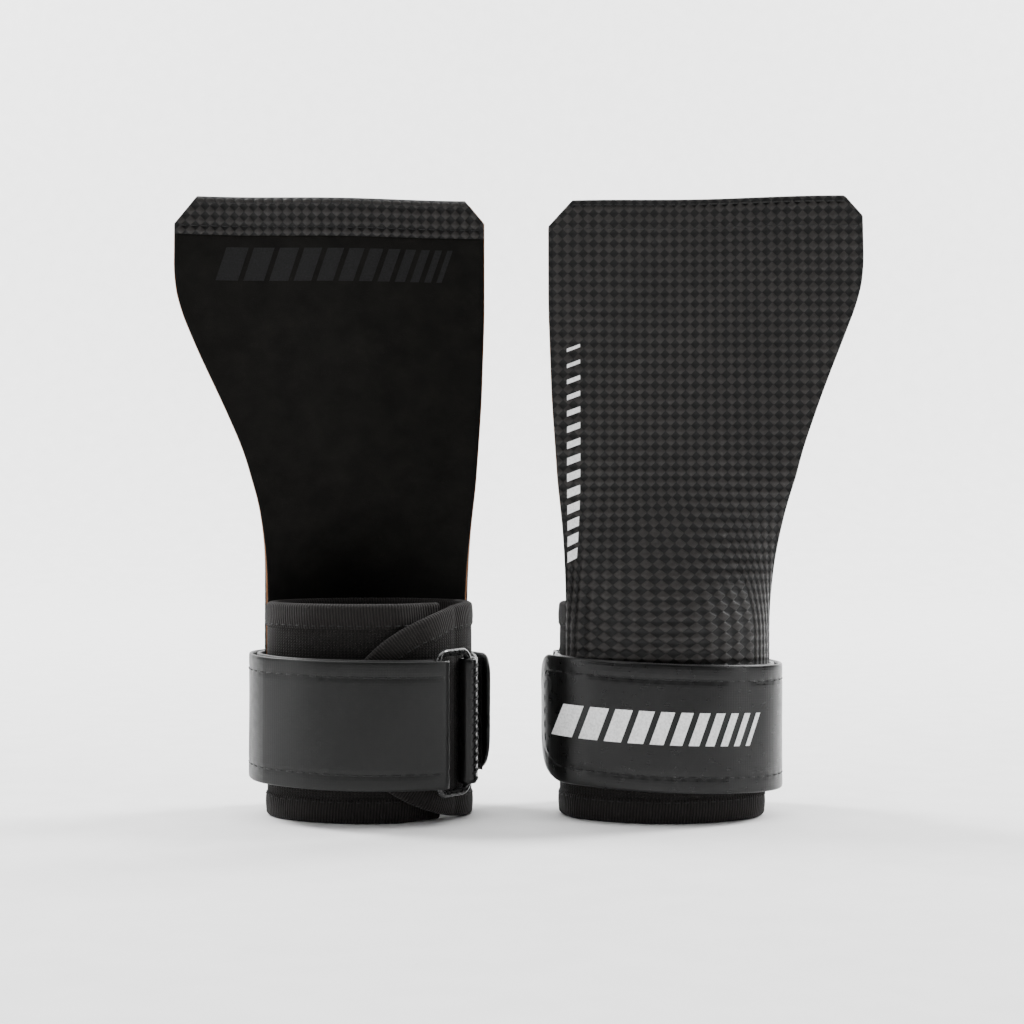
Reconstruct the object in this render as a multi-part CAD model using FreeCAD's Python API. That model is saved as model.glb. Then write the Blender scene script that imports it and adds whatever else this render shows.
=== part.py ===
"""A pair of fingerless hand grips for bar work, standing on their wristbands side by side.

Each grip is a flexible palm leaf, laminated from a woven-look coated face, a fibre core and a microsuede
lining, whose lower edge is sewn between a padded wristband and a strap. The strap runs round the wristband,
passes through a wire ring held by a sewn keeper, turns back on itself and closes with hook and loop.

Local frame of one grip: the palm side faces -Y, the back of the wrist faces +Y, +Z is up and the wristband
stands on Z = 0. The right grip faces the viewer palm side on. The left grip is the same, turned half round.
Places round the wrist are given by the direction that the wall faces there, in degrees: 0 is the palm side,
90 is +X, 180 is the back and 270 (or -90) is -X. Distances out from the wrist are called "out". Millimetres.
"""
import FreeCAD
import Part

import math
import os

from FreeCAD import Vector

os.makedirs("parts", exist_ok=True)

# ---- driving dimensions ----
GRIP_OFFSET = 48.2          # each grip's centre from the middle of the pair, along X

WRIST_HALF_WIDTH = 30.3     # inside of the wristband
WRIST_HALF_DEPTH = 21.0
WRIST_SIDE_RADIUS = 15.5

BAND_HEIGHT = 70.0
COVER = 0.4                 # jersey on each face of the band's foam
FOAM = 2.1
BINDING = 0.3               # knitted tape folded over the band's edges
BINDING_DEPTH = 8.0
BAND_THICKNESS = FOAM + 2 * COVER + 2 * BINDING

LEAF_INNER_OUT = 3.7        # the leaf's lining side, out from the wrist
LINING = 0.5
CORE = 0.5
FACE = 0.6
LEAF_THICKNESS = LINING + CORE + FACE
FOLD_HEIGHT = 112.0         # where the leaf folds round a bar
FOLD_GAP = 1.3              # clear on each side of the fold line
FOLD_Y = -17.0
LEAF_LEAN = 4.4             # degrees that the upper leaf leans back
HEM_DEPTH = 13.0
HEM_THICKNESS = 0.7

STRAP_WIDTH = 40.6
STRAP = 1.2
LOOP_TAPE = 0.5
HOOK_TAPE = 0.4
SKIN = 0.05                 # glue between a strap and the tape on it
INNER_RUN_OUT = 5.55        # where the strap's inner run lies over the leaf
OUTER_RUN_OUT = 8.1         # where its outer run lies over that
RING_WIRE = 1.2             # wire radius
RING_INSIDE = 42.6
RING_BAR_OUT = 10.8         # the bar that the strap turns round
RING_BAR_AT = 209.0
KEEPER_BAR_OUT = 6.6        # the bar that the keeper holds
KEEPER_BAR_AT = 234.0
RING_CORNER = 3.6
STRAP_TURN = 2.4            # inside radius of the strap's turn round the ring
KEEPER = 1.2
KEEPER_LEGS = 24.0          # degrees of the wall that its legs cover
LEG_GAP = 0.3               # between the sewn legs
LEG_CLOSING = 16.0          # how far past the bar the legs have come together
KEEPER_TURN = 1.8
STRAP_END_AT = 75.0         # where the free end starts to peel
PEEL_GAP = 0.8              # degrees of the wall left clear on each side of it

# Each grip's name, centre x, turn about Z, strap's middle height, and strap's rise per mm of local x.
GRIPS = (
    ("left", -GRIP_OFFSET, 180.0, 32.4, 0.015),
    ("right", GRIP_OFFSET, 0.0, 31.2, -0.042),
)

# ---- the oval round the wrist: two broad arcs joined by two side arcs ----
SIDE_X = WRIST_HALF_WIDTH - WRIST_SIDE_RADIUS
FLATNESS = WRIST_HALF_DEPTH - WRIST_SIDE_RADIUS
BROAD_Y = (SIDE_X**2 - FLATNESS**2) / (2 * FLATNESS)
BROAD_RADIUS = WRIST_HALF_DEPTH + BROAD_Y
JOIN = math.degrees(math.atan2(SIDE_X, BROAD_Y))


def direction(at):
    """The outward direction of the wall at this place."""
    return Vector(math.sin(math.radians(at)), -math.cos(math.radians(at)), 0)


def around(at, out, z=0.0):
    """The point at this place, this far out from the wrist."""
    turn = (at + 180.0) % 360.0 - 180.0
    if abs(turn) <= JOIN:
        centre, radius = Vector(0, BROAD_Y, z), BROAD_RADIUS
    elif abs(turn) >= 180.0 - JOIN:
        centre, radius = Vector(0, -BROAD_Y, z), BROAD_RADIUS
    else:
        centre, radius = Vector(math.copysign(SIDE_X, turn), 0, z), WRIST_SIDE_RADIUS
    return centre + direction(at) * (radius + out)


def ease(value, start, end):
    """0 before start, 1 after end, and smooth between them."""
    share = min(max((value - start) / (end - start), 0.0), 1.0)
    return share * share * (3 - 2 * share)


def spline(points):
    curve = Part.BSplineCurve()
    curve.interpolate(points)
    return curve.toShape()


def largest_solid(shape):
    return max(shape.Solids, key=lambda solid: solid.Volume)


def stations(start, end, step=9.0):
    count = max(3, math.ceil(abs(end - start) / step))
    return [start + (end - start) * i / count for i in range(count + 1)]


def run(start, end, out):
    """A smooth edge round the wrist from start to end, with out given as a function of the place."""
    return spline([around(at, out(at)) for at in stations(start, end)])


def ends(edge):
    return edge.valueAt(edge.FirstParameter), edge.valueAt(edge.LastParameter)


def closed_face(edges):
    """A face inside edges given in order, with a straight line wherever two of them don't meet."""
    outline = []
    for edge, following in zip(edges, edges[1:] + edges[:1]):
        outline.append(edge)
        gap_from, gap_to = ends(edge)[1], ends(following)[0]
        if (gap_to - gap_from).Length > 1e-6:
            outline.append(Part.LineSegment(gap_from, gap_to).toShape())
    return Part.Face(Part.Wire(outline))


def wrap(start, end, inner, thickness, low, high):
    """A band round the wrist between two places, upright from low to high."""
    inside = run(start, end, inner)
    outside = run(end, start, lambda at: inner(at) + thickness)
    face = closed_face([inside, outside])
    return face.translated(Vector(0, 0, low)).extrude(Vector(0, 0, high - low))


def slanting_slab(middle, rise, width):
    """The space between two slanting planes, which the strap's edges lie on."""
    reach = 80.0
    corners = []
    for side, edge in ((-1, -1), (1, -1), (1, 1), (-1, 1)):
        corners.append(Vector(side * reach, -reach, middle + side * reach * rise + edge * width / 2))
    face = Part.Face(Part.makePolygon(corners + corners[:1]))
    return face.extrude(Vector(0, 2 * reach, 0))


# ---- wristband: a padded strip whose tapered tongue laps over its other end at the back ----
BAND_UNDER_END = 198.0
TONGUE_TIP = -189.0
TONGUE_LENGTH = 20.0
TONGUE_BLUNT = 14.0         # half the height of its blunt tip
LAP = BAND_THICKNESS + 0.2


def band_out(at):
    """The inside of the band. It steps out where the tongue laps over the other end."""
    return LAP * ease(-at, 132.0, 155.0)


def band_layer(first, thickness, margin):
    """A layer of the band that stops short of the band's upper and lower edges by a margin."""
    top = BAND_HEIGHT - margin
    layer = wrap(BAND_UNDER_END, TONGUE_TIP, lambda at: band_out(at) + first, thickness, margin, top)
    return layer.cut(tongue_trim(margin))


def tongue_trim(margin):
    """What tapering the tongue takes off its two corners, and a margin more: two wedges."""
    tip = around(TONGUE_TIP, LAP)
    near = WRIST_HALF_DEPTH + LAP - 0.1
    wedges = []
    for side in (-1, 1):
        corner = BAND_HEIGHT / 2 + side * (BAND_HEIGHT / 2 - margin)
        blunt = BAND_HEIGHT / 2 + side * TONGUE_BLUNT
        outside = BAND_HEIGHT / 2 + side * BAND_HEIGHT
        outline = [
            Vector(tip.x - TONGUE_LENGTH, near, corner),
            Vector(tip.x + 2.0, near, blunt),
            Vector(tip.x + 2.0, near, outside),
            Vector(tip.x - TONGUE_LENGTH, near, outside),
        ]
        wedges.append(Part.Face(Part.makePolygon(outline + outline[:1])).extrude(Vector(0, 12.0, 0)))
    return Part.makeCompound(wedges)


def wristband():
    pieces = {
        "band_lining": band_layer(BINDING, COVER, BINDING),
        "band_foam": band_layer(BINDING + COVER, FOAM, BINDING),
        "band_cover": band_layer(BINDING + COVER + FOAM, COVER, BINDING),
    }
    padding = band_layer(BINDING, BAND_THICKNESS - 2 * BINDING, BINDING)
    middle = band_layer(0.0, BAND_THICKNESS, BINDING_DEPTH)
    tapes = band_layer(0.0, BAND_THICKNESS, 0.0).cut(padding).cut(middle)
    lower_half = Part.makeBox(200, 200, BAND_HEIGHT / 2, Vector(-100, -100, 0))
    upper_half = lower_half.translated(Vector(0, 0, BAND_HEIGHT / 2))
    pieces["lower_binding"] = largest_solid(tapes.common(lower_half))
    pieces["upper_binding"] = largest_solid(tapes.common(upper_half))
    return pieces


# ---- palm leaf: curved round the wrist below, flat above the fold ----
LEAF_LEFT_AT, LEAF_RIGHT_AT = -56.0, 80.0
LEAF_BOTTOM, LEAF_FREE_FROM = 16.0, 66.0
FOLD_LEFT, FOLD_RIGHT = -34.2, 40.6
SECTION_POINTS = 15


def leaf_section(height, inner, thickness):
    """The leaf's outline at one height: the wristband's curve below, easing to straight at the fold."""
    flat = ease(height, LEAF_FREE_FROM, FOLD_HEIGHT)
    rows = ([], [])
    for i in range(SECTION_POINTS):
        share = i / (SECTION_POINTS - 1)
        at = LEAF_LEFT_AT + (LEAF_RIGHT_AT - LEAF_LEFT_AT) * share
        straight = Vector(FOLD_LEFT + (FOLD_RIGHT - FOLD_LEFT) * share, FOLD_Y + LEAF_THICKNESS / 2, 0)
        base = around(at, LEAF_INNER_OUT) * (1 - flat) + straight * flat
        facing = direction(at) * (1 - flat) + Vector(0, -1, 0) * flat
        facing.normalize()
        for row, out in zip(rows, (inner, inner + thickness)):
            row.append(base + facing * out + Vector(0, 0, height))
    inside, outside = rows
    edges = [spline(inside), Part.LineSegment(inside[-1], outside[-1]).toShape()]
    edges += [spline(outside[::-1]), Part.LineSegment(outside[0], inside[0]).toShape()]
    return Part.Wire(edges)


def lower_leaf(inner, thickness):
    top = FOLD_HEIGHT - FOLD_GAP
    heights = stations(LEAF_BOTTOM, LEAF_FREE_FROM, 10.0) + stations(LEAF_FREE_FROM, top, 7.0)[1:]
    return Part.makeLoft([leaf_section(height, inner, thickness) for height in heights], True)


def upper_leaf_outline():
    """The upper leaf in its own plane: straight on one side and flaring out on the other."""
    def at(x, z):
        return Vector(x, 0, z)

    bottom = FOLD_HEIGHT + FOLD_GAP
    left_bottom, left_shoulder = at(-34.4, bottom), at(-36.4, 150.0)
    left_corner, top_left, top_right = at(-36.6, 192.6), at(-28.8, 201.2), at(58.6, 202.6)
    right_corner, flare, waist = at(65.4, 195.0), at(65.8, 172.6), at(47.6, 130.0)
    right_bottom = at(41.6, bottom)
    points = [right_bottom, left_bottom, left_shoulder, left_corner, top_left]
    points += [top_right, right_corner, flare, waist]
    edges = [Part.LineSegment(a, b).toShape() for a, b in zip(points, points[1:])]
    edges.append(Part.Arc(waist, at(44.4, 122.2), right_bottom).toShape())
    return Part.Face(Part.Wire(edges))


def upper_leaf(inner, thickness, low=0.0):
    """A flat layer of the upper leaf, inner from the lining's free face, leaning back about the fold."""
    layer = upper_leaf_outline().extrude(Vector(0, -thickness, 0))
    layer.translate(Vector(0, FOLD_Y + LEAF_THICKNESS / 2 - inner, 0))
    if low:
        layer = layer.common(Part.makeBox(200, 200, 100, Vector(-100, -100, low)))
    layer.rotate(Vector(0, FOLD_Y, FOLD_HEIGHT), Vector(1, 0, 0), -LEAF_LEAN)
    return layer


def palm_leaf():
    layers = (("lining", 0.0, LINING), ("core", LINING, CORE), ("face", LINING + CORE, FACE))
    pieces = {}
    for name, inner, thickness in layers:
        pieces[name + "_lower"] = lower_leaf(inner, thickness)
        pieces[name + "_upper"] = upper_leaf(inner, thickness)
    pieces["top_hem"] = upper_leaf(-HEM_THICKNESS, HEM_THICKNESS, 202.6 - HEM_DEPTH)
    return pieces


# ---- strap: from the keeper round the palm side to the ring, round its bar and back ----
INNER_RUN_START = -102.0
HOOK_FROM, HOOK_TO = 60.0, -70.0
LOOP_FROM, LOOP_TO = 64.0, -55.0
TIP_AT = -84.0
TIP_LIFT = 2.0
PAST_LEAF = 1.7             # how far the strap steps in past the leaf's side
TIP_CORNER = 12.0


def inner_run_out(at):
    """The inner run lies on the leaf at the palm side, and on the band past the leaf and at the back."""
    over_leaf = INNER_RUN_OUT - PAST_LEAF * ease(-at, 57.0, 74.0)
    return over_leaf + (RING_BAR_OUT - STRAP_TURN - STRAP - INNER_RUN_OUT) * ease(at, 120.0, 165.0)


def outer_run_out(at):
    """The outer run comes down from the ring's bar and lies on the inner run."""
    return OUTER_RUN_OUT + (RING_BAR_OUT + STRAP_TURN - OUTER_RUN_OUT) * ease(at, 95.0, 190.0)


def end_run_out(at):
    """The free end follows the inner run in past the leaf, where its tip stands a little off it."""
    return OUTER_RUN_OUT - (PAST_LEAF - TIP_LIFT) * ease(-at, 57.0, 74.0)


def turn_edge(centre, radius, start, end):
    """Half a circle round a bar, from one side of it to the other, on the side of the open ring."""
    across = direction(start)
    along = Vector(-across.y, across.x, 0)
    first, last = centre + across * radius * end, centre - across * radius * end
    return Part.Arc(first, centre + along * radius, last).toShape()


def strap_run(low, high):
    bar = around(RING_BAR_AT, RING_BAR_OUT)
    outer_end = STRAP_END_AT + PEEL_GAP
    edges = [
        run(INNER_RUN_START, RING_BAR_AT, inner_run_out),
        turn_edge(bar, STRAP_TURN + STRAP, RING_BAR_AT, -1),
        run(RING_BAR_AT, outer_end, lambda at: outer_run_out(at) + STRAP),
        run(outer_end, RING_BAR_AT, outer_run_out),
        turn_edge(bar, STRAP_TURN, RING_BAR_AT, 1),
        run(RING_BAR_AT, INNER_RUN_START, lambda at: inner_run_out(at) + STRAP),
    ]
    return closed_face(edges).translated(Vector(0, 0, low)).extrude(Vector(0, 0, high - low))


def keeper(low, high):
    """A tab folded round the ring's other bar, with its two legs sewn to the strap's start."""
    bar = around(KEEPER_BAR_AT, KEEPER_BAR_OUT)
    across = direction(KEEPER_BAR_AT)
    along = Vector(across.y, -across.x, 0)

    def fold(radius, sense):
        first, last = bar + across * radius * sense, bar - across * radius * sense
        return Part.Arc(first, bar + along * radius, last).toShape()

    legs_end = KEEPER_BAR_AT + KEEPER_LEGS
    wide, narrow = KEEPER_TURN + KEEPER, KEEPER_TURN

    def outer_leg(at):
        """The outer leg comes down to the inner one behind the bar."""
        close = ease(at, KEEPER_BAR_AT, KEEPER_BAR_AT + LEG_CLOSING)
        return KEEPER_BAR_OUT + narrow - (2 * narrow - LEG_GAP) * close

    edges = [
        run(legs_end, KEEPER_BAR_AT, lambda at: outer_leg(at) + KEEPER),
        fold(wide, 1),
        run(KEEPER_BAR_AT, legs_end, lambda at: KEEPER_BAR_OUT - wide),
        run(legs_end, KEEPER_BAR_AT, lambda at: KEEPER_BAR_OUT - narrow),
        fold(narrow, -1),
        run(KEEPER_BAR_AT, legs_end, outer_leg),
    ]
    return closed_face(edges).translated(Vector(0, 0, low)).extrude(Vector(0, 0, high - low))


def ring(middle):
    """A rectangular ring of round wire standing on edge between the keeper and the strap's turn."""
    bar, held = around(RING_BAR_AT, RING_BAR_OUT), around(KEEPER_BAR_AT, KEEPER_BAR_OUT)
    width = (held - bar).Length
    across = (held - bar) * (1 / width)
    half = RING_INSIDE / 2 + RING_WIRE
    up = Vector(0, 0, 1)
    centre = (bar + held) * 0.5 + up * middle
    corner = RING_CORNER
    near = corner * (1 - math.cos(math.pi / 4))
    edges = []
    last = None
    for side, end in ((1, 1), (-1, 1), (-1, -1), (1, -1)):
        square = centre + across * (side * width / 2) + up * (end * half)
        inward, down = across * -side, up * -end
        beside, below = square + inward * corner, square + down * corner
        start, stop = (below, beside) if side * end > 0 else (beside, below)
        if last is not None:
            edges.append(Part.LineSegment(last, start).toShape())
        else:
            begin = start
        edges.append(Part.Arc(start, square + (inward + down) * near, stop).toShape())
        last = stop
    edges.append(Part.LineSegment(last, begin).toShape())
    path = Part.Wire(edges)
    section = Part.Wire(Part.Circle(begin, edges[0].tangentAt(edges[0].FirstParameter), RING_WIRE).toShape())
    return path.makePipeShell([section], True, False)


def rounded_tip(middle, rise):
    """The space that the strap's free end keeps to: rounded at the tip and open everywhere else."""
    tip = around(TIP_AT, end_run_out(TIP_AT))
    low_edge = middle + rise * tip.x - STRAP_WIDTH / 2
    half_round = Part.makeBox(80, 60, STRAP_WIDTH, Vector(-60, tip.y - 60, low_edge))
    corners = []
    for edge in half_round.Edges:
        box = edge.BoundBox
        if box.XLength > 1 and box.YMin > tip.y - 1:
            corners.append(edge)
    rest = Part.makeBox(200, 200, 200, Vector(-SIDE_X, -100, -50))
    return half_round.makeFillet(TIP_CORNER, corners).fuse(rest)


def strap(middle, rise):
    slab = slanting_slab(middle, rise, STRAP_WIDTH)
    tape_slab = slanting_slab(middle, rise, STRAP_WIDTH - 3.0)
    low, high = middle - 28.0, middle + 28.0
    end_piece = wrap(STRAP_END_AT - PEEL_GAP, TIP_AT, end_run_out, STRAP, low, high)
    rounded = Part.makeBox(80, 60, STRAP_WIDTH, Vector(-60, -40, middle - STRAP_WIDTH / 2))
    end_piece = end_piece.common(slab).common(rounded_tip(middle, rise))
    loop_tape = wrap(LOOP_FROM, LOOP_TO, lambda at: inner_run_out(at) + STRAP + SKIN, LOOP_TAPE, low, high)
    hook_tape = wrap(HOOK_FROM, HOOK_TO, lambda at: end_run_out(at) - SKIN - HOOK_TAPE, HOOK_TAPE, low, high)
    pieces = {
        "strap_run": strap_run(low, high).common(slab),
        "strap_end": end_piece,
        "loop_tape": loop_tape.common(tape_slab),
        "hook_tape": hook_tape.common(tape_slab),
        "keeper": keeper(low, high).common(slanting_slab(middle, rise, STRAP_WIDTH - 0.4)),
    }
    held = (around(RING_BAR_AT, RING_BAR_OUT) + around(KEEPER_BAR_AT, KEEPER_BAR_OUT)) * 0.5
    pieces["ring"] = ring(middle + rise * held.x)
    return pieces


for grip, centre_x, turned, strap_middle, strap_rise in GRIPS:
    made = {**wristband(), **palm_leaf(), **strap(strap_middle, strap_rise)}
    for node, shape in made.items():
        placed = shape.copy()
        placed.rotate(Vector(0, 0, 0), Vector(0, 0, 1), turned)
        placed.translate(Vector(centre_x, 0, 0))
        placed.exportStep(f"parts/{grip}_{node}.step")
        print(f"{grip}_{node}: valid {placed.isValid()}, volume {placed.Volume:.0f} cubic mm")
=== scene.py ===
"""Two fingerless hand grips for bar work, standing on their wristbands side by side.

Sizes are in millimetres in one grip's own frame, and placed() takes them to metres in the pair's frame. In
that frame the palm side faces -Y, the back of the wrist faces +Y, and the wristband stands on Z = 0. A place
round the wrist is the direction, in degrees, that the wall faces there: 0 is the palm side, 90 is +X, 180 is
the back and -90 is -X. "Out" is the distance out from the wrist.
"""

import math

import bpy
import numpy as np
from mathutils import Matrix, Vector


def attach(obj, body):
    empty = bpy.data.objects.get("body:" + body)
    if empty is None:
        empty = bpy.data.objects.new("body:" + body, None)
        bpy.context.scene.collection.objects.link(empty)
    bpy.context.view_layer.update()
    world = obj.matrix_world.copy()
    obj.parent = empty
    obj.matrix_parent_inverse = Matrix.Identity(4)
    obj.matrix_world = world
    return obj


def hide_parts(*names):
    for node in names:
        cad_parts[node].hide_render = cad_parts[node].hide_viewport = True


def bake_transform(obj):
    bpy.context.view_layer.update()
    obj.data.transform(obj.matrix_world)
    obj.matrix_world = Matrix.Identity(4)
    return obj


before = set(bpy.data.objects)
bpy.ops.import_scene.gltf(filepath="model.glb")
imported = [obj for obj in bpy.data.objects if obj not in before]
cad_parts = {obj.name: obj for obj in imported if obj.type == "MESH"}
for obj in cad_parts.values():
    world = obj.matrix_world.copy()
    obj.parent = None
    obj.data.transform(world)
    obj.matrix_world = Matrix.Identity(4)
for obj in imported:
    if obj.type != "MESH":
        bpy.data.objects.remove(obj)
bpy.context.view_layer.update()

# ---- Camera ----
# A level camera in front of the pair, at half the height of a grip, with a short telephoto lens.
camera_data = bpy.data.cameras.new("camera")
camera_data.sensor_width = 36.0
camera_data.lens = 66.0
camera = bpy.data.objects.new("camera", camera_data)
camera.location = (-0.0012, -0.620, 0.0993)
camera.rotation_euler = (math.pi / 2, 0, 0)
bpy.context.scene.collection.objects.link(camera)
bpy.context.scene.camera = camera


# ---- Studio: floor and lights ----
# A white sweep of paper under and behind the grips, lit by soft boxes: one overhead, a tall one at each side,
# one high beside the camera, and two that light the paper behind.
class Reading:
    """One value in a shader. Sums on readings add the Math nodes that work them out."""

    def __init__(self, finish, output):
        self.finish = finish
        self.output = output

    def maths(self, operation, *values):
        return self.finish.node("ShaderNodeMath", {"operation": operation}, dict(enumerate(values)))

    def __add__(self, other):
        return self.maths("ADD", self, other)

    def __sub__(self, other):
        return self.maths("SUBTRACT", self, other)

    def __rsub__(self, other):
        return self.maths("SUBTRACT", other, self)

    def __mul__(self, other):
        return self.maths("MULTIPLY", self, other)

    def wave(self, period):
        """A sine wave of this reading, from -1 to 1."""
        return self.maths("SINE", self * (2 * math.pi / period))


class Finish:
    """A material being made up. Sockets that are the same all over are set at once."""

    def __init__(self, name, **sockets):
        self.material = bpy.data.materials.new(name)
        self.material.use_nodes = True
        self.tree = self.material.node_tree
        self.shader = self.tree.nodes["Principled BSDF"]
        for socket, value in sockets.items():
            self.shader.inputs[socket.replace("_", " ")].default_value = value

    def node(self, kind, settings=None, values=None, output=0):
        """Adds a node: its settings first, a ramp's stops among them, then its sockets' values or links."""
        made = self.tree.nodes.new(kind)
        for setting, value in (settings or {}).items():
            if setting == "stops":
                ramp = made.color_ramp
                while len(ramp.elements) < len(value):
                    ramp.elements.new(0.5)
                for element, (place, colour) in zip(ramp.elements, value):
                    element.position = place
                    element.color = (*colour, 1.0)
            else:
                setattr(made, setting, value)
        for socket, value in (values or {}).items():
            if isinstance(value, Reading):
                self.tree.links.new(value.output, made.inputs[socket])
            else:
                made.inputs[socket].default_value = value
        return Reading(self, made.outputs[output])

    def feed(self, socket, reading):
        self.tree.links.new(reading.output, self.shader.inputs[socket])

    def flat_place(self):
        """Where a point lies on the flat piece, in millimetres across and along."""
        place = self.node("ShaderNodeUVMap", {"uv_map": "flat"})
        return place, self.node("ShaderNodeSeparateXYZ", {}, {0: place}, 0), self.node(
            "ShaderNodeSeparateXYZ", {}, {0: place}, 1)

    def noise(self, place, scale, detail=2.0):
        return self.node("ShaderNodeTexNoise", {}, {"Vector": place, "Scale": scale, "Detail": detail})

    def ramp(self, reading, *stops):
        return self.node("ShaderNodeValToRGB", {"stops": stops}, {0: reading})

    def grain(self, height, depth):
        """Bump whose full height is that many millimetres."""
        bump = self.node("ShaderNodeBump", {}, {"Height": height, "Strength": 1.0, "Distance": depth / 1000})
        self.feed("Normal", bump)


paper = Finish("white_paper", Roughness=0.85)
paper_place = paper.node("ShaderNodeTexCoord", {}, {}, "Object")
paper_mottle = paper.noise(paper_place, 60.0)
paper.feed("Base Color", paper.ramp(paper_mottle, (0.3, (0.86, 0.86, 0.86)), (0.7, (0.9, 0.9, 0.9))))

floor_data = bpy.data.meshes.new("floor")
SWEEP_RADIUS = 0.5
SWEEP_BACK = 1.4
sweep = [(-4.0, 0.0)]
for step in range(13):
    turn = math.radians(90 * step / 12)
    sweep.append((SWEEP_BACK + SWEEP_RADIUS * math.sin(turn), SWEEP_RADIUS * (1 - math.cos(turn))))
sweep.append((SWEEP_BACK + SWEEP_RADIUS, 4.0))
corners = [(x, y, z) for y, z in sweep for x in (-5.0, 5.0)]
floor_data.from_pydata(corners, [], [(2 * i, 2 * i + 1, 2 * i + 3, 2 * i + 2) for i in range(len(sweep) - 1)])
floor_data.polygons.foreach_set("use_smooth", [True] * len(floor_data.polygons))
floor_data.materials.append(paper.material)
floor = bpy.data.objects.new("floor", floor_data)
bpy.context.scene.collection.objects.link(floor)

AIM = Vector((0.0, 0.0, 0.1))
BACKDROP = Vector((0.0, 1.7, 0.5))
# Each soft box's name, place, what it points at, width, height and power.
SOFT_BOXES = (
    ("overhead", (0.0, -0.1, 1.3), AIM, 1.5, 0.9, 17.0),
    ("left_side", (-1.0, -0.35, 0.35), AIM, 0.2, 1.1, 4.0),
    ("right_side", (1.0, -0.45, 0.35), AIM, 0.2, 1.1, 4.0),
    ("upper_left", (-0.75, -0.95, 0.95), AIM, 0.35, 0.35, 2.6),
    ("backdrop_left", (-1.5, 0.7, 1.6), BACKDROP, 0.8, 0.8, 105.0),
    ("backdrop_right", (1.5, 0.7, 1.6), BACKDROP, 0.8, 0.8, 105.0),
)
for box_name, box_place, box_aim, box_width, box_height, power in SOFT_BOXES:
    light_data = bpy.data.lights.new(box_name, "AREA")
    light_data.shape = "RECTANGLE"
    light_data.size = box_width
    light_data.size_y = box_height
    light_data.energy = power
    light = bpy.data.objects.new(box_name, light_data)
    light.location = box_place
    light.rotation_euler = (box_aim - Vector(box_place)).to_track_quat("-Z", "Y").to_euler()
    bpy.context.scene.collection.objects.link(light)

world = bpy.data.worlds.new("studio")
world.use_nodes = True
world.node_tree.nodes["Background"].inputs["Color"].default_value = (1.0, 1.0, 1.0, 1.0)
world.node_tree.nodes["Background"].inputs["Strength"].default_value = 0.06
bpy.context.scene.world = world


# ---- Wristband ----
# A strip of foam rubber faced with knit on both sides, bent to an oval round the wrist. Its round tongue laps
# over the other end at the back. It is a thin firm strip, so its swell between the seams is shaped directly.
GRIP_OFFSET = 48.2
WRIST_HALF_WIDTH = 30.3
WRIST_HALF_DEPTH = 21.0
WRIST_SIDE_RADIUS = 15.5
SIDE_X = WRIST_HALF_WIDTH - WRIST_SIDE_RADIUS
FLATNESS = WRIST_HALF_DEPTH - WRIST_SIDE_RADIUS
BROAD_Y = (SIDE_X**2 - FLATNESS**2) / (2 * FLATNESS)
BROAD_RADIUS = WRIST_HALF_DEPTH + BROAD_Y
JOIN = math.degrees(math.atan2(SIDE_X, BROAD_Y))

# Each grip's name, its centre's x, and its turn: 1 as in its own frame, -1 turned half round.
GRIPS = {"left": (-GRIP_OFFSET, -1), "right": (GRIP_OFFSET, 1)}


def facing(at):
    """The wall's outward direction at these places."""
    turn = np.radians(at)
    return np.stack([np.sin(turn), -np.cos(turn)], axis=-1)


def around(at, out):
    """Points at these places round the wrist, this far out from it."""
    at, out = np.broadcast_arrays(np.asarray(at, float), np.asarray(out, float))
    turn = (at + 180.0) % 360.0 - 180.0
    front = np.abs(turn) <= JOIN
    back = np.abs(turn) >= 180.0 - JOIN
    centre_x = np.where(front | back, 0.0, np.sign(turn) * SIDE_X)
    centre_y = np.where(front, BROAD_Y, np.where(back, -BROAD_Y, 0.0))
    radius = np.where(front | back, BROAD_RADIUS, WRIST_SIDE_RADIUS)
    return np.stack([centre_x, centre_y], axis=-1) + facing(at) * (radius + out)[..., None]


def ease(value, start, end):
    """0 before start, 1 after end, and smooth between them."""
    share = np.clip((np.asarray(value, float) - start) / (end - start), 0.0, 1.0)
    return share * share * (3 - 2 * share)


def placed(grip, points):
    """Points of one grip, in millimetres in its own frame, as metres in the pair's frame."""
    centre, turn = GRIPS[grip]
    return (np.asarray(points, float) * (turn, turn, 1) + (centre, 0, 0)) / 1000


def smooth_piece(name, grip, points, faces, finish, flat=None):
    """A smooth mesh in the scene. flat gives where each point lies on the flat piece."""
    mesh = bpy.data.meshes.new(name)
    mesh.from_pydata(placed(grip, points).tolist(), [], faces)
    mesh.polygons.foreach_set("use_smooth", [True] * len(mesh.polygons))
    if flat is not None:
        layer = mesh.uv_layers.new(name="flat")
        corner_points = np.zeros(len(mesh.loops), int)
        mesh.loops.foreach_get("vertex_index", corner_points)
        layer.data.foreach_set("uv", flat.reshape(-1, 2)[corner_points].ravel())
    mesh.materials.append(finish.material)
    piece = bpy.data.objects.new(name, mesh)
    bpy.context.scene.collection.objects.link(piece)
    return piece


def panel(name, grip, grid, finish, flat=None, loop=False, ends=False):
    """A smooth mesh through a grid of points. A loop closes across, and ends are filled in."""
    rows, columns = grid.shape[:2]
    number = np.arange(rows * columns).reshape(rows, columns)
    if loop:
        number = np.concatenate([number, number[:, :1]], axis=1)
    quads = np.stack([number[:-1, :-1], number[:-1, 1:], number[1:, 1:], number[1:, :-1]], axis=-1)
    faces = quads.reshape(-1, 4).tolist()
    if ends:
        faces.append(number[0, :columns][::-1].tolist())
        faces.append(number[-1, :columns].tolist())
    return smooth_piece(name, grip, grid.reshape(-1, 3), faces, finish, flat)


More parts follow.
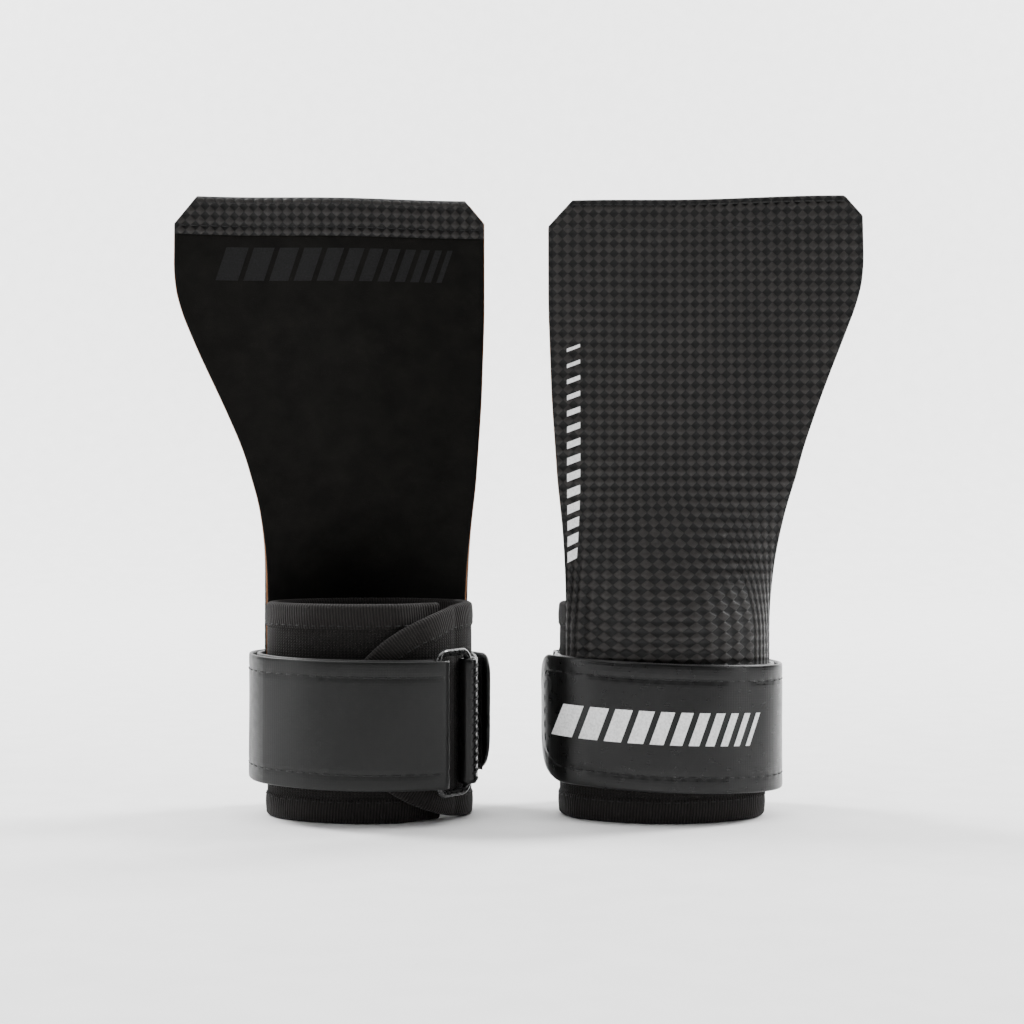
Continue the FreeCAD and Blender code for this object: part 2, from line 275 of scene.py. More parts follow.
BAND_MIDDLE = 35.0
BAND_HALF_HEIGHT = 35.0
BAND_THICKNESS = 3.5
BINDING = 0.3
LAP = BAND_THICKNESS + 0.2
BAND_UNDER_END = 218.0
UNDER_TUCK = 3.4            # how far the under end tucks in beneath the tongue
TONGUE_TIP = -189.0
TONGUE_LENGTH = 52.0


def band_out(at):
    """The band's inside steps out where the tongue laps over the other end, which tucks in under it."""
    return LAP * ease(-np.asarray(at), 132.0, 155.0) - UNDER_TUCK * ease(at, 194.0, 212.0)


# The band's middle line, from its under end to the tongue's tip, and the length along it.
band_at = np.linspace(BAND_UNDER_END, TONGUE_TIP, 400)
band_line = around(band_at, band_out(band_at) + BAND_THICKNESS / 2)
band_steps = np.linalg.norm(np.diff(band_line, axis=0), axis=1)
band_along = np.concatenate([[0], np.cumsum(band_steps)])
BAND_LENGTH = band_along[-1]


def on_band(along, height, outward):
    """Points on the band: so far along it, so high above its middle, so far outward of its middle line."""
    at = np.interp(along, band_along, band_at)
    line = around(at, band_out(at) + BAND_THICKNESS / 2 + outward)
    return np.concatenate([line, (np.asarray(height) + BAND_MIDDLE)[..., None]], axis=-1)


def tongue_half_height(along):
    """Half the band's height: full, and rounded like an oval's end along the tongue."""
    left = np.clip((BAND_LENGTH - along) / TONGUE_LENGTH, 0.0, 1.0)
    return BAND_HALF_HEIGHT * np.sqrt(1 - (1 - left) ** 2)


def knit_finish(name, colour, wale, tint):
    """Black knit: columns of small loops, a little brown where the light rakes them."""
    knit = Finish(name, Roughness=0.92, Sheen_Weight=0.05, Sheen_Roughness=0.5, Specular_IOR_Level=0.12)
    place, across, along = knit.flat_place()
    columns = across.wave(wale)
    loops = (along + columns * (0.2 * wale)).wave(wale * 0.8)
    speck = knit.noise(place, 1.3, 4.0)
    height = columns * 0.5 + loops * 0.5 + speck * 1.2
    tone = knit.ramp(height * 0.35 + 0.25, (0.0, colour), (1.0, tint))
    knit.feed("Base Color", tone)
    knit.grain(height, 0.12)
    return knit


band_knit = knit_finish("band_knit", (0.004, 0.004, 0.004), 1.1, (0.02, 0.018, 0.017))

SWELL = 0.35
band_rows = np.linspace(0.0, BAND_LENGTH - 0.6, 300)
side_rows = np.linspace(-1, 1, 41)
for grip in GRIPS:
    half = np.maximum(tongue_half_height(band_rows) - 0.5, 0.3)[:, None]
    swell = SWELL * (1 - np.abs(side_rows) ** 6) * np.clip(half / 20, 0, 1)
    base = BAND_THICKNESS / 2 - BINDING - 0.15
    # Round the four sides of the section: the outer face going up, then the inner face going down.
    edge = np.clip((1 - np.abs(side_rows)) * half, 0, 1.2) / 1.2
    outer = base * np.sqrt(1 - (1 - edge) ** 2) + swell
    heights = np.concatenate([side_rows * half, (side_rows * half)[:, ::-1]], axis=1)
    outward = np.concatenate([outer, -outer[:, ::-1]], axis=1)
    lengths = np.broadcast_to(band_rows[:, None], heights.shape)
    flat = np.stack([lengths + (outward < 0) * 300, heights], axis=-1)
    band_points = on_band(lengths, heights, outward)[:, ::-1]
    band = panel(f"{grip}_band", grip, band_points, band_knit, flat[:, ::-1], loop=True, ends=True)
    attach(band, f"{grip}_cuff")
    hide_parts(f"{grip}_band_lining", f"{grip}_band_foam", f"{grip}_band_cover")


# ---- Binding ----
# Ribbed knit tape folded over the wristband's raw edge all the way along, round the tongue too, and sewn
# down by one row of stitches near its inner edge.
BINDING_WIDTH = 8.0


def binding_finish():
    """Fine ribs across the tape, about a millimetre apart, with a soft fuzz."""
    tape = Finish("binding_knit", Roughness=0.9, Sheen_Weight=0.06, Sheen_Roughness=0.45,
                  Specular_IOR_Level=0.12)
    place, across, along = tape.flat_place()
    ribs = (along + across * 0.08).wave(0.95)
    fuzz = tape.noise(place, 2.2, 4.0)
    height = ribs * 0.5 + fuzz
    tone = height * 0.5 + 0.2
    tape.feed("Base Color", tape.ramp(tone, (0.0, (0.004, 0.004, 0.004)), (1.0, (0.026, 0.023, 0.022))))
    tape.grain(height, 0.2)
    return tape


def band_edge(count):
    """The band's upper edge in the flat, from its under end to its tongue's tip, and the way into it."""
    turn = np.linspace(0, math.pi / 2, count // 2)
    straight = np.linspace(0, BAND_LENGTH - TONGUE_LENGTH, count // 2, endpoint=False)
    along = np.concatenate([straight, BAND_LENGTH - TONGUE_LENGTH + TONGUE_LENGTH * np.sin(turn)])
    height = np.concatenate([np.full(straight.shape, BAND_HALF_HEIGHT), BAND_HALF_HEIGHT * np.cos(turn)])
    heading = np.stack([np.gradient(along), np.gradient(height)], axis=-1)
    heading /= np.linalg.norm(heading, axis=1)[:, None]
    inward = np.stack([heading[:, 1], -heading[:, 0]], axis=-1)
    return np.stack([along, height], axis=-1), inward


def threads(name, grip, strokes, finish, radius):
    """Short threads, each a run of points and the outward direction of what it lies on."""
    sides = np.linspace(0, 2 * math.pi, 7)[:-1]
    vertices, faces = [], []
    for points, out in strokes:
        tangent = np.gradient(points, axis=0)
        tangent /= np.linalg.norm(tangent, axis=1)[:, None]
        side = np.cross(tangent, out)
        side /= np.linalg.norm(side, axis=1)[:, None]
        rise = np.cross(side, tangent)
        taper = radius * np.sqrt(1.05 - np.linspace(-1, 1, len(points)) ** 4)
        round_it = np.cos(sides)[:, None] * rise[:, None] + np.sin(sides)[:, None] * side[:, None]
        rings = points[:, None] + taper[:, None, None] * round_it
        first = len(vertices)
        vertices += rings.reshape(-1, 3).tolist()
        for ring in range(len(points) - 1):
            for corner in range(6):
                a = first + ring * 6 + corner
                b = first + ring * 6 + (corner + 1) % 6
                faces.append((a, b, b + 6, a + 6))
        faces.append([first + corner for corner in range(6)][::-1])
        faces.append([len(vertices) - 6 + corner for corner in range(6)])
    return smooth_piece(name, grip, vertices, faces, finish)


def stitches(line, out, pitch, length, dip=0.25):
    """Strokes for a row of stitches along a line on a surface. Each dives into it at both ends."""
    reach = np.concatenate([[0], np.cumsum(np.linalg.norm(np.diff(line, axis=0), axis=1))])
    count = max(1, int(reach[-1] / pitch))
    strokes = []
    for stitch in range(count):
        middle = (stitch + 0.5) * reach[-1] / count
        share = np.array([-1.0, -0.75, -0.3, 0.3, 0.75, 1.0])
        place = middle + share * length / 2
        points = np.stack([np.interp(place, reach, line[:, axis]) for axis in range(3)], axis=-1)
        away = np.stack([np.interp(place, reach, out[:, axis]) for axis in range(3)], axis=-1)
        away /= np.linalg.norm(away, axis=1)[:, None]
        strokes.append((points + away * (0.08 - dip * share**4)[:, None], away))
    return strokes


thread = Finish("black_thread", Roughness=0.6, Specular_IOR_Level=0.25)
thread_place = thread.node("ShaderNodeTexCoord", {}, {}, "Object")
thread_tone = thread.noise(thread_place, 3000.0)
thread.feed("Base Color",
            thread.ramp(thread_tone, (0.3, (0.004, 0.004, 0.004)), (0.7, (0.016, 0.016, 0.016))))
thread.grain(thread_tone, 0.05)

binding_knit = binding_finish()
edge_line, edge_inward = band_edge(520)
# The tape's section: how far in from the band's edge each point lies, and how far outward.
fold = np.radians(np.linspace(90, -90, 9))
reach_in = np.concatenate([[BINDING_WIDTH, BINDING_WIDTH], np.linspace(BINDING_WIDTH - 0.4, 1.8, 9),
                           1.4 - 1.4 * np.cos(fold), np.linspace(1.8, BINDING_WIDTH - 0.4, 9),
                           [BINDING_WIDTH] * 2])
thickness = BAND_THICKNESS / 2 + 0.12
puff = 0.22 * np.sin(np.pi * np.linspace(0, 1, 9))
stand = np.concatenate([[thickness - 0.6, thickness - 0.25], thickness + puff, thickness * np.sin(fold),
                        -thickness - puff, [-thickness + 0.25, -thickness + 0.6]])
edge_length = np.concatenate([[0], np.cumsum(np.linalg.norm(np.diff(edge_line, axis=0), axis=1))])
for grip in GRIPS:
    for level, upside in (("upper", 1), ("lower", -1)):
        flat_points = edge_line[:, None] + edge_inward[:, None] * reach_in[None, :, None]
        waver = 0.12 * np.sin(edge_length / 3.1)[:, None] * np.sign(stand)[None]
        grid = on_band(flat_points[..., 0], flat_points[..., 1] * upside, stand[None] + waver)
        round_tape = reach_in[None] * np.sign(stand)[None]
        flat = np.stack(np.broadcast_arrays(round_tape, edge_length[:, None]), axis=-1)
        if upside < 0:
            grid, flat = grid[:, ::-1], flat[:, ::-1]
        binding = panel(f"{grip}_{level}_binding_tape", grip, grid, binding_knit, flat)
        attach(binding, f"{grip}_cuff")
        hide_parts(f"{grip}_{level}_binding")
        sewn = edge_line + edge_inward * (BINDING_WIDTH - 1.0)
        seam_line = on_band(sewn[:, 0], sewn[:, 1] * upside, np.full(len(sewn), thickness))
        seam_out = seam_line - on_band(sewn[:, 0], sewn[:, 1] * upside, np.full(len(sewn), thickness - 1))
        strokes = stitches(seam_line, seam_out, 3.0, 2.1)
        seam = threads(f"{grip}_{level}_binding_seam", grip, strokes, thread, 0.2)
        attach(seam, f"{grip}_cuff")


# ---- Palm leaf: coated face ----
# A sheet coated in black and embossed like a plain weave of flat tapes laid at 45 degrees. It is the outside
# of the palm leaf, and at the top it folds over to the inside as a hem.
LEAF_LEFT_AT, LEAF_RIGHT_AT = -56.0, 80.0
LEAF_OUT = 4.35             # the leaf's middle, out from the wrist
LEAF_BOTTOM, LEAF_FREE_FROM, FOLD_HEIGHT = 17.0, 60.0, 112.0
FOLD_Y = -17.0
LEAF_LEAN = math.tan(math.radians(4.4))
LEAF_TOPS = {"left": 204.7, "right": 201.2}
FLARE_MORE = {"left": 1.3, "right": -1.0}
TOP_SLANT = 1.7             # the flaring side stands this much higher
HEM_DEPTH = 13.2
FACE_SURFACE, FACE_THICKNESS = 0.8, 0.6
WEAVE_PITCH = 3.3
WEAVE_DEPTH = 0.11

# The leaf's two sides: x at each height, on the side that runs straight and on the side that flares.
STRAIGHT_SIDE = ((57, -32.2), (97, -33.9), (136, -36.6), (165, -37.6), (195, -37.6))
FLARE_SIDE = ((57, 35.2), (85, 37.2), (103, 39.4), (120, 44.0), (136, 50.2), (156, 58.7), (168, 63.6),
              (177, 65.4), (195, 65.1))
# How far each top corner is cut back, across and down: straight side, then flaring side.
CORNER_CUTS = {"left": ((6.4, 7.6), (7.6, 9.4)), "right": ((8.0, 8.8), (6.2, 6.8))}


def side_x(points, height):
    """x of a side at these heights: straight between the points, and rounded a little at each."""
    heights, values = zip(*points)
    return sum(np.interp(height + nudge, heights, values) for nudge in (-5, -3, -1, 1, 3, 5)) / 6


def leaf_sides(grip, height, top):
    """x of the leaf's two sides at these heights, with the top corners cut."""
    (left_across, left_down), (right_across, right_down) = CORNER_CUTS[grip]
    flare = FLARE_MORE[grip] * ease(height, 110, 160)
    left_cut = left_across * np.clip((height - (top - left_down)) / left_down, 0, 1)
    right_cut = right_across * np.clip((height - (top - right_down)) / right_down, 0, 1)
    return side_x(STRAIGHT_SIDE, height) + left_cut, side_x(FLARE_SIDE, height) + flare - right_cut


def leaf_middle(grip, share, height, left, right):
    """Points on the leaf's middle surface, share of the way across. It wraps the wristband below and opens
    out to an almost flat sheet above, with the slow waves that a carried sheet takes."""
    at = LEAF_LEFT_AT + (LEAF_RIGHT_AT - LEAF_LEFT_AT) * share
    wrapped = around(at, LEAF_OUT)
    across = left + (right - left) * share
    upper = np.clip(height - FOLD_HEIGHT, 0, None)
    lean = FOLD_Y + LEAF_LEAN * (upper - 6 * (1 - np.exp(-upper / 6)))
    wave = 1.5 * np.cos((across - 2.0 - 0.12 * (height - 130)) * 2 * math.pi / 74.0) * ease(height, 66, 130)
    curl = 0.9 * np.sin((height - 120) * 2 * math.pi / 150) * (share - 0.35) * ease(height, 90, 150)
    opened = np.stack([across, lean + wave + curl], axis=-1)
    flat = ease(height, LEAF_FREE_FROM, FOLD_HEIGHT)[..., None]
    plan = wrapped * (1 - flat) + opened * flat
    level = height + TOP_SLANT * (share - 0.5) * ease(height, 150, 195)
    return np.concatenate([plan, level[..., None]], axis=-1)


def leaf_layer(grip, share, height, left, right, outward):
    """Points at a distance outward of the leaf's middle surface, measured square to it."""
    share_step, height_step = 0.005, 0.4

    def middle_at(share_there, height_there):
        return leaf_middle(grip, share_there, height_there, left, right)

    middle = middle_at(share, height)
    along_x = middle_at(share + share_step, height) - middle_at(share - share_step, height)
    along_z = middle_at(share, height + height_step) - middle_at(share, height - height_step)
    normal = np.cross(along_x, along_z)
    normal /= np.linalg.norm(normal, axis=-1)[..., None]
    return middle + normal * np.asarray(outward)[..., None], normal


def weave(across, along):
    """Height of the embossed weave, from -1 to 1: alternate diamonds stand up and sink."""
    domes = 0.5 * (np.cos(along * 2 * math.pi / WEAVE_PITCH) - np.cos(across * 2 * math.pi / WEAVE_PITCH))
    return np.sign(domes) * np.abs(domes) ** 0.75


def coated_finish():
    """Black coating over an embossed weave. The raised tapes are painted a warm grey, a painted highlight for
    the light they catch, and are a little smoother, a satin.
    """
    coat = Finish("coated_weave", Specular_IOR_Level=0.22)
    place, across, along = coat.flat_place()
    quarter = WEAVE_PITCH / 4
    domes = ((along + quarter).wave(WEAVE_PITCH) - (across + quarter).wave(WEAVE_PITCH)) * 0.5
    raised = coat.node("ShaderNodeMapRange", {"interpolation_type": "SMOOTHSTEP"},
                       {"Value": domes, "From Min": -0.12, "From Max": 0.14})
    speck = coat.noise(place, 2.6, 5.0)
    patch = coat.noise(place, 0.05, 2.0)
    # Painted highlight: the raised diamonds get a lighter, warm grey colour that stands in for the light they
    # catch.
    tone = raised * 0.55 + (speck - 0.5) * 0.4 + (patch - 0.5) * 0.3 + 0.2
    coat.feed("Base Color", coat.ramp(tone, (0.1, (0.0025, 0.0025, 0.0025)), (0.35, (0.005, 0.0049, 0.0047)),
                                      (0.9, (0.027, 0.0245, 0.023))))
    coat.feed("Roughness", 0.52 - raised * 0.1 + (speck - 0.5) * 0.2)
    coat.grain(raised * 0.8 + domes * 0.8 + speck * 0.3, 0.3)
    return coat


coated_weave = coated_finish()
FOLD_RADIUS = 1.15
for grip in GRIPS:
    top = LEAF_TOPS[grip]
    spacing = WEAVE_PITCH / 6
    up_rows = np.arange(LEAF_BOTTOM, top - FOLD_RADIUS, spacing)
    turn = np.linspace(0, math.pi, 7)
    down_rows = np.arange(top - FOLD_RADIUS - spacing, top - HEM_DEPTH, -spacing)
    heights = np.concatenate([up_rows, top - FOLD_RADIUS + FOLD_RADIUS * np.sin(turn), down_rows])
    surface = np.concatenate([np.full(up_rows.shape, FACE_SURFACE),
                              FACE_SURFACE - FOLD_RADIUS * (1 - np.cos(turn)),
                              np.full(down_rows.shape, FACE_SURFACE - 2 * FOLD_RADIUS)])
    inside = np.concatenate([np.full(up_rows.shape, 1.0), np.cos(turn), np.full(down_rows.shape, -1.0)])
    lengths = np.concatenate([up_rows, up_rows[-1] + spacing + FOLD_RADIUS * turn,
                              up_rows[-1] + 2 * spacing + FOLD_RADIUS * math.pi + up_rows[-1] - down_rows
                              - spacing])
    share = np.linspace(0, 1, 190)
    left, right = leaf_sides(grip, heights, top)
    share, height = np.broadcast_arrays(share[None], heights[:, None])
    left, right = left[:, None], right[:, None]
    across = left + (right - left) * share
    along = np.broadcast_to(lengths[:, None], across.shape)
    from_sides = np.clip(np.minimum(share, 1 - share) * 60, 0, 1)
    relief = WEAVE_DEPTH * weave(across, along) * inside[:, None] * from_sides
    points, normal = leaf_layer(grip, share, height, left, right, surface[:, None] + relief)
    # The cut edges: a wall down each side, and one along the hem's lower edge.
    sink = normal * inside[:, None, None] * FACE_THICKNESS
    points = np.concatenate([(points - sink)[:, :1], points, (points - sink)[:, -1:]], axis=1)
    hem_wall = points[-1:] + np.pad(normal[-1:], ((0, 0), (1, 1), (0, 0)), mode="edge") * FACE_THICKNESS
    points = np.concatenate([points, hem_wall])
    flat = np.stack([across, along], axis=-1)
    flat = np.pad(flat, ((0, 1), (1, 1), (0, 0)), mode="edge")
    face = panel(f"{grip}_palm_face", grip, points, coated_weave, flat)
    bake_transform(face)
    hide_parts(f"{grip}_face_lower", f"{grip}_face_upper", f"{grip}_top_hem")


# ---- Palm leaf: core and lining ----
# A brown fibre core, seen as a thin line along the cut edges, and a black microsuede lining glued behind it.
core_fibre = Finish("core_fibre", Roughness=0.9, Specular_IOR_Level=0.3)
core_place = core_fibre.flat_place()[0]
core_speck = core_fibre.noise(core_place, 1.6, 4.0)
core_fibre.feed("Base Color",
                core_fibre.ramp(core_speck, (0.3, (0.12, 0.045, 0.016)), (0.7, (0.36, 0.16, 0.07))))
core_fibre.grain(core_speck, 0.15)

suede = Finish("microsuede", Roughness=0.95, Sheen_Weight=0.03, Sheen_Roughness=0.4, Specular_IOR_Level=0.08)
suede_place = suede.flat_place()[0]
suede_nap = suede.noise(suede_place, 3.0, 5.0)
suede_brush = suede.noise(suede_place, 0.12, 4.0)
suede_tone = suede_nap * 0.6 + suede_brush * 0.7 - 0.15
suede.feed("Base Color",
           suede.ramp(suede_tone, (0.2, (0.003, 0.003, 0.0027)), (0.8, (0.009, 0.0085, 0.0075))))
suede.grain(suede_nap, 0.12)

LAYERS = (
    # Name, its two faces' distances outward, how far short of the leaf's sides it stops, finish, slot.
    ("palm_core", 0.2, -0.3, -0.12, core_fibre, "core"),
    ("palm_lining", -0.3, -0.8, 0.1, suede, "lining"),
)
for grip in GRIPS:
    for layer, outer, inner, margin, finish, slot_name in LAYERS:
        heights = np.arange(LEAF_BOTTOM, LEAF_TOPS[grip] - 1.1, 1.0)
        left, right = leaf_sides(grip, heights, LEAF_TOPS[grip])
        share, height = np.broadcast_arrays(np.linspace(0, 1, 90)[None], heights[:, None])
        left, right = left[:, None] + margin, right[:, None] - margin
        front = leaf_layer(grip, share, height, left, right, np.full(share.shape, outer))[0]
        back = leaf_layer(grip, share, height, left, right, np.full(share.shape, inner))[0]
        points = np.concatenate([front, back[:, ::-1]], axis=1)
        across = left + (right - left) * share
        flat = np.stack([across, height], axis=-1)
        flat = np.concatenate([flat, flat[:, ::-1] + (200, 0)], axis=1)
        sheet = panel(f"{grip}_{layer}", grip, points, finish, flat, loop=True, ends=True)
        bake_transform(sheet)
        name = layer.removeprefix("palm_")
        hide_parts(f"{grip}_{name}_lower", f"{grip}_{name}_upper")


# ---- Hem stitching ----
# Two rows of black thread sewn through the folded hem, seen on both faces of the leaf.
HEM_ROWS = (2.0, 9.8)       # below the top edge


def on_leaf(grip, across, height, outward):
    """Points on the leaf at these x, and the outward direction there."""
    left, right = leaf_sides(grip, height, 999.0)
    return leaf_layer(grip, (across - left) / (right - left), height, left, right, outward)


for grip in GRIPS:
    for row_name, drop in zip(("upper", "lower"), HEM_ROWS):
        height = np.full(80, LEAF_TOPS[grip] - drop)
        left, right = leaf_sides(grip, height, LEAF_TOPS[grip])
        across = left + 1.2 + (right - left - 2.4) * np.linspace(0, 1, 80)
        strokes = []
        for surface_out, way in ((FACE_SURFACE, 1), (FACE_SURFACE - 2 * FOLD_RADIUS, -1)):
            line, normal = on_leaf(grip, across, height, np.full(80, surface_out + 0.06 * way))
            strokes += stitches(line, normal * way, 3.4, 2.6)
        hem_seam = threads(f"{grip}_{row_name}_hem_seam", grip, strokes, thread, 0.22)
        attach(hem_seam, f"{grip}_leaf")


# ---- Strap ----
# A coated tape sewn round the wristband. From the keeper it runs round the palm side over the foot of the
# leaf, on round the back, through the ring, and back over itself to a rounded tip. Each edge is stitched.
STRAP_WIDTH = 40.6
STRAP = 1.2
STRAP_ROW = 5.0             # the stitches' distance from the strap's edge
STITCH_PITCH, STITCH_LENGTH, THREAD_RADIUS = 4.2, 3.2, 0.24
INNER_RUN_OUT, OUTER_RUN_OUT = 5.55, 8.1
PAST_LEAF = 1.7
TIP_LIFT = 2.0
RING_BAR_AT, RING_BAR_OUT, STRAP_TURN = 209.0, 10.8, 2.4
KEEPER_BAR_AT, KEEPER_BAR_OUT, KEEPER_TURN = 234.0, 6.6, 1.8
INNER_RUN_START, STRAP_SPLIT, TIP_AT = -102.0, 112.0, -84.0
PEEL_AT = 75.0
TIP_CORNERS = (8.0, 16.0)   # upper and lower
# Each strap's middle height at its grip's centre, and its rise per millimetre of x.
STRAP_LIE = {"left": (32.4, 0.015), "right": (31.2, -0.042)}


def inner_run_out(at):
    """How far out the inner run's wrist side lies: over the leaf, past it, and up to the ring's bar."""
    over_leaf = INNER_RUN_OUT - PAST_LEAF * ease(-at, 57.0, 74.0)
    return over_leaf + (RING_BAR_OUT - STRAP_TURN - STRAP - INNER_RUN_OUT) * ease(at, 120.0, 165.0)


def outer_run_out(at):
    """How far out the outer run's wrist side lies, from the ring's bar down to the inner run."""
    back = (RING_BAR_OUT + STRAP_TURN - OUTER_RUN_OUT) * ease(at, 95.0, 190.0)
    return OUTER_RUN_OUT + back - (PAST_LEAF - TIP_LIFT) * ease(-at, 57.0, 74.0)


def wall_line(start, end, out):
    """A line round the wrist, about half a millimetre between points, and its direction outward."""
    at = np.linspace(start, end, int(abs(end - start) * 0.9))
    return around(at, out(at)), facing(at)


def turn_line(at, out, radius, way):
    """Half a turn round a bar, from its wrist side to its outer side, and the direction towards it."""
    centre, across = around(at, out), facing(at)
    along = np.array([-across[1], across[0]]) * way
    turn = np.linspace(0, math.pi, 17)[1:-1, None]
    towards = across * np.cos(turn) - along * np.sin(turn)
    return centre - towards * radius, towards


def tape(name, grip, line, normal, low, high, thick, finish, relief=None):
    """A tape that stands on edge along a line, between a low and a high edge. Relief raises its faces."""
    width = high - low
    share = np.concatenate([[0.0, 0.006, 0.02], np.linspace(0.05, 0.95, 46), [0.98, 0.994, 1.0]])
    depth = np.concatenate([[0.35, 0.8, 1.0], np.ones(46), [1.0, 0.8, 0.35]]) * thick / 2
    height = low[:, None] + width[:, None] * share
    along = np.concatenate([[0], np.cumsum(np.linalg.norm(np.diff(line, axis=0), axis=1))])
    raised = np.zeros(height.shape)
    if relief:
        raised = relief(along[:, None], height - low[:, None], width[:, None])
    sides = []
    for way in (1, -1):
        offset = way * (depth + raised)
        plan = line[:, None] + normal[:, None] * offset[..., None]
        sides.append(np.concatenate([plan, height[..., None]], axis=-1))
    points = np.concatenate([sides[0], sides[1][:, ::-1]], axis=1)
    flat = np.stack(np.broadcast_arrays(along[:, None], height - low[:, None]), axis=-1)
    flat = np.concatenate([flat, flat[:, ::-1] + (0, 60)], axis=1)
    return panel(name, grip, points[:, ::-1], finish, flat[:, ::-1], loop=True, ends=True)


def strap_relief(along, height, width):
    """The faces sink along each row of stitches and swell a little between stitches, and lie unevenly."""
    edge = np.minimum(height, width - height)
    between = 1 + 0.4 * np.cos(along * 2 * math.pi / STITCH_PITCH)
    groove = -0.16 * np.exp(-(((edge - STRAP_ROW) / 0.7) ** 2)) * between
    uneven = 0.1 * np.sin(along / 6.1 + height / 17) * np.sin(height / 9.3 + along / 23 + 1)
    return groove + uneven


def strap_edges(grip, line):
    """The heights of the strap's lower and upper edges along a line."""
    middle, rise = STRAP_LIE[grip]
    centre = middle + rise * line[:, 0]
    return centre - STRAP_WIDTH / 2, centre + STRAP_WIDTH / 2


def strap_finish(name, low_tone, high_tone, roughness):
    """Smooth coating with the woven base showing through as faint crossing ribs, and fine scuffs."""
    coat = Finish(name, Specular_IOR_Level=0.25, Coat_Weight=0.04, Coat_Roughness=0.25)
    place, along, height = coat.flat_place()
    ribs = along.wave(0.9) * 0.5 + height.wave(0.8) * 0.5
    scuff = coat.noise(place, 0.35, 6.0)
    speck = coat.noise(place, 4.0, 3.0)
    tone = scuff * 0.8 + ribs * 0.06 + 0.1
    coat.feed("Base Color", coat.ramp(tone, (0.2, low_tone), (0.8, high_tone)))
    coat.feed("Roughness", (scuff - 0.5) * 0.22 + roughness)
    coat.grain(ribs * 0.25 + speck * 0.2, 0.05)
    return coat


# The left strap is the same black tape as the right. Its lighter colour is painted light, standing in for the
# grey sheen it shows, and its coat is also rougher.
strap_coats = {
    "left": strap_finish("strap_coat_dull_painted_light", (0.003, 0.0033, 0.003), (0.006, 0.0063, 0.006), 0.42),
    "right": strap_finish("strap_coat_black", (0.002, 0.002, 0.002), (0.005, 0.005, 0.005), 0.3),
}
strap_ends = {}
for grip in GRIPS:
    inner, inner_normal = wall_line(INNER_RUN_START, RING_BAR_AT, lambda at: inner_run_out(at) + STRAP / 2)
    turned, turned_normal = turn_line(RING_BAR_AT, RING_BAR_OUT, STRAP_TURN + STRAP / 2, 1)
    outer, outer_normal = wall_line(RING_BAR_AT, STRAP_SPLIT, lambda at: outer_run_out(at) + STRAP / 2)
    line = np.concatenate([inner, turned, outer])
    normal = np.concatenate([inner_normal, turned_normal, -outer_normal])
    low, high = strap_edges(grip, line)
    strap_run = tape(f"{grip}_strap", grip, line, normal, low, high, STRAP, strap_coats[grip], strap_relief)
    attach(strap_run, f"{grip}_cuff")
    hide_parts(f"{grip}_strap_run")
    low, high = strap_edges(grip, outer)
    for level, height in (("upper", high - STRAP_ROW), ("lower", low + STRAP_ROW)):
        seam_line = np.concatenate([outer + outer_normal * (STRAP / 2 - 0.12), height[:, None]], axis=1)
        seam_out = np.concatenate([outer_normal, np.zeros((len(outer), 1))], axis=1)
        strokes = stitches(seam_line, seam_out, STITCH_PITCH, STITCH_LENGTH)
        seam = threads(f"{grip}_{level}_strap_seam", grip, strokes, thread, THREAD_RADIUS)
        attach(seam, f"{grip}_cuff")

    # The free end, from the side of the wrist to the tip.
    end_at = np.linspace(STRAP_SPLIT, TIP_AT, 260)
    end_line, end_normal = around(end_at, outer_run_out(end_at) + STRAP / 2), facing(end_at)
    low, high = strap_edges(grip, end_line)
    along = np.concatenate([[0], np.cumsum(np.linalg.norm(np.diff(end_line, axis=0), axis=1))])
    left_over = along[-1] - along
    upper_corner, lower_corner = TIP_CORNERS
    upper_cut = np.clip(upper_corner - left_over, 0, None)
    lower_cut = np.clip(lower_corner - left_over, 0, None)
    high_edge = high - (upper_corner - np.sqrt(upper_corner**2 - upper_cut**2))
    low_edge = low + (lower_corner - np.sqrt(lower_corner**2 - lower_cut**2))
    strap_end = tape(f"{grip}_strap_free_end", grip, end_line, end_normal, low_edge, high_edge, STRAP,
                     strap_coats[grip], strap_relief)
    blend_from = np.array([*around(97.0, OUTER_RUN_OUT), STRAP_LIE[grip][0]])
    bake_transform(strap_end)
    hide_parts(f"{grip}_strap_end")
    # One row of stitches runs along the upper edge, round the tip and back along the lower edge.
    run = along[along < along[-1] - lower_corner]
    upper_turn = np.linspace(0, math.pi / 2, 8)
    upper_round, lower_round = upper_corner - STRAP_ROW, lower_corner - STRAP_ROW
    seam_along = np.concatenate([
        along[along < along[-1] - upper_corner],
        along[-1] - upper_corner + upper_round * np.sin(upper_turn),
        along[-1] - lower_corner + lower_round * np.cos(upper_turn),
        run[::-1]])
    high_at, low_at = np.interp(seam_along, along, high), np.interp(seam_along, along, low)
    upper_count = len(along[along < along[-1] - upper_corner])
    seam_height = np.concatenate([
        high_at[:upper_count] - STRAP_ROW,
        high_at[upper_count:upper_count + 8] - STRAP_ROW - upper_round * (1 - np.cos(upper_turn)),
        low_at[upper_count + 8:upper_count + 16] + STRAP_ROW + lower_round * (1 - np.sin(upper_turn)),
        low_at[upper_count + 16:] + STRAP_ROW])
    seam_at = np.interp(seam_along, along, end_at)
    seam_plan = around(seam_at, outer_run_out(seam_at) + STRAP - 0.12)
    seam_line = np.concatenate([seam_plan, seam_height[:, None]], axis=1)
    seam_out = np.concatenate([facing(seam_at), np.zeros((len(seam_at), 1))], axis=1)
    strokes = stitches(seam_line, seam_out, STITCH_PITCH, STITCH_LENGTH)
    seam = threads(f"{grip}_free_end_seam", grip, strokes, thread, THREAD_RADIUS)
    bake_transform(seam)
    strap_ends[grip] = (end_at, end_line)


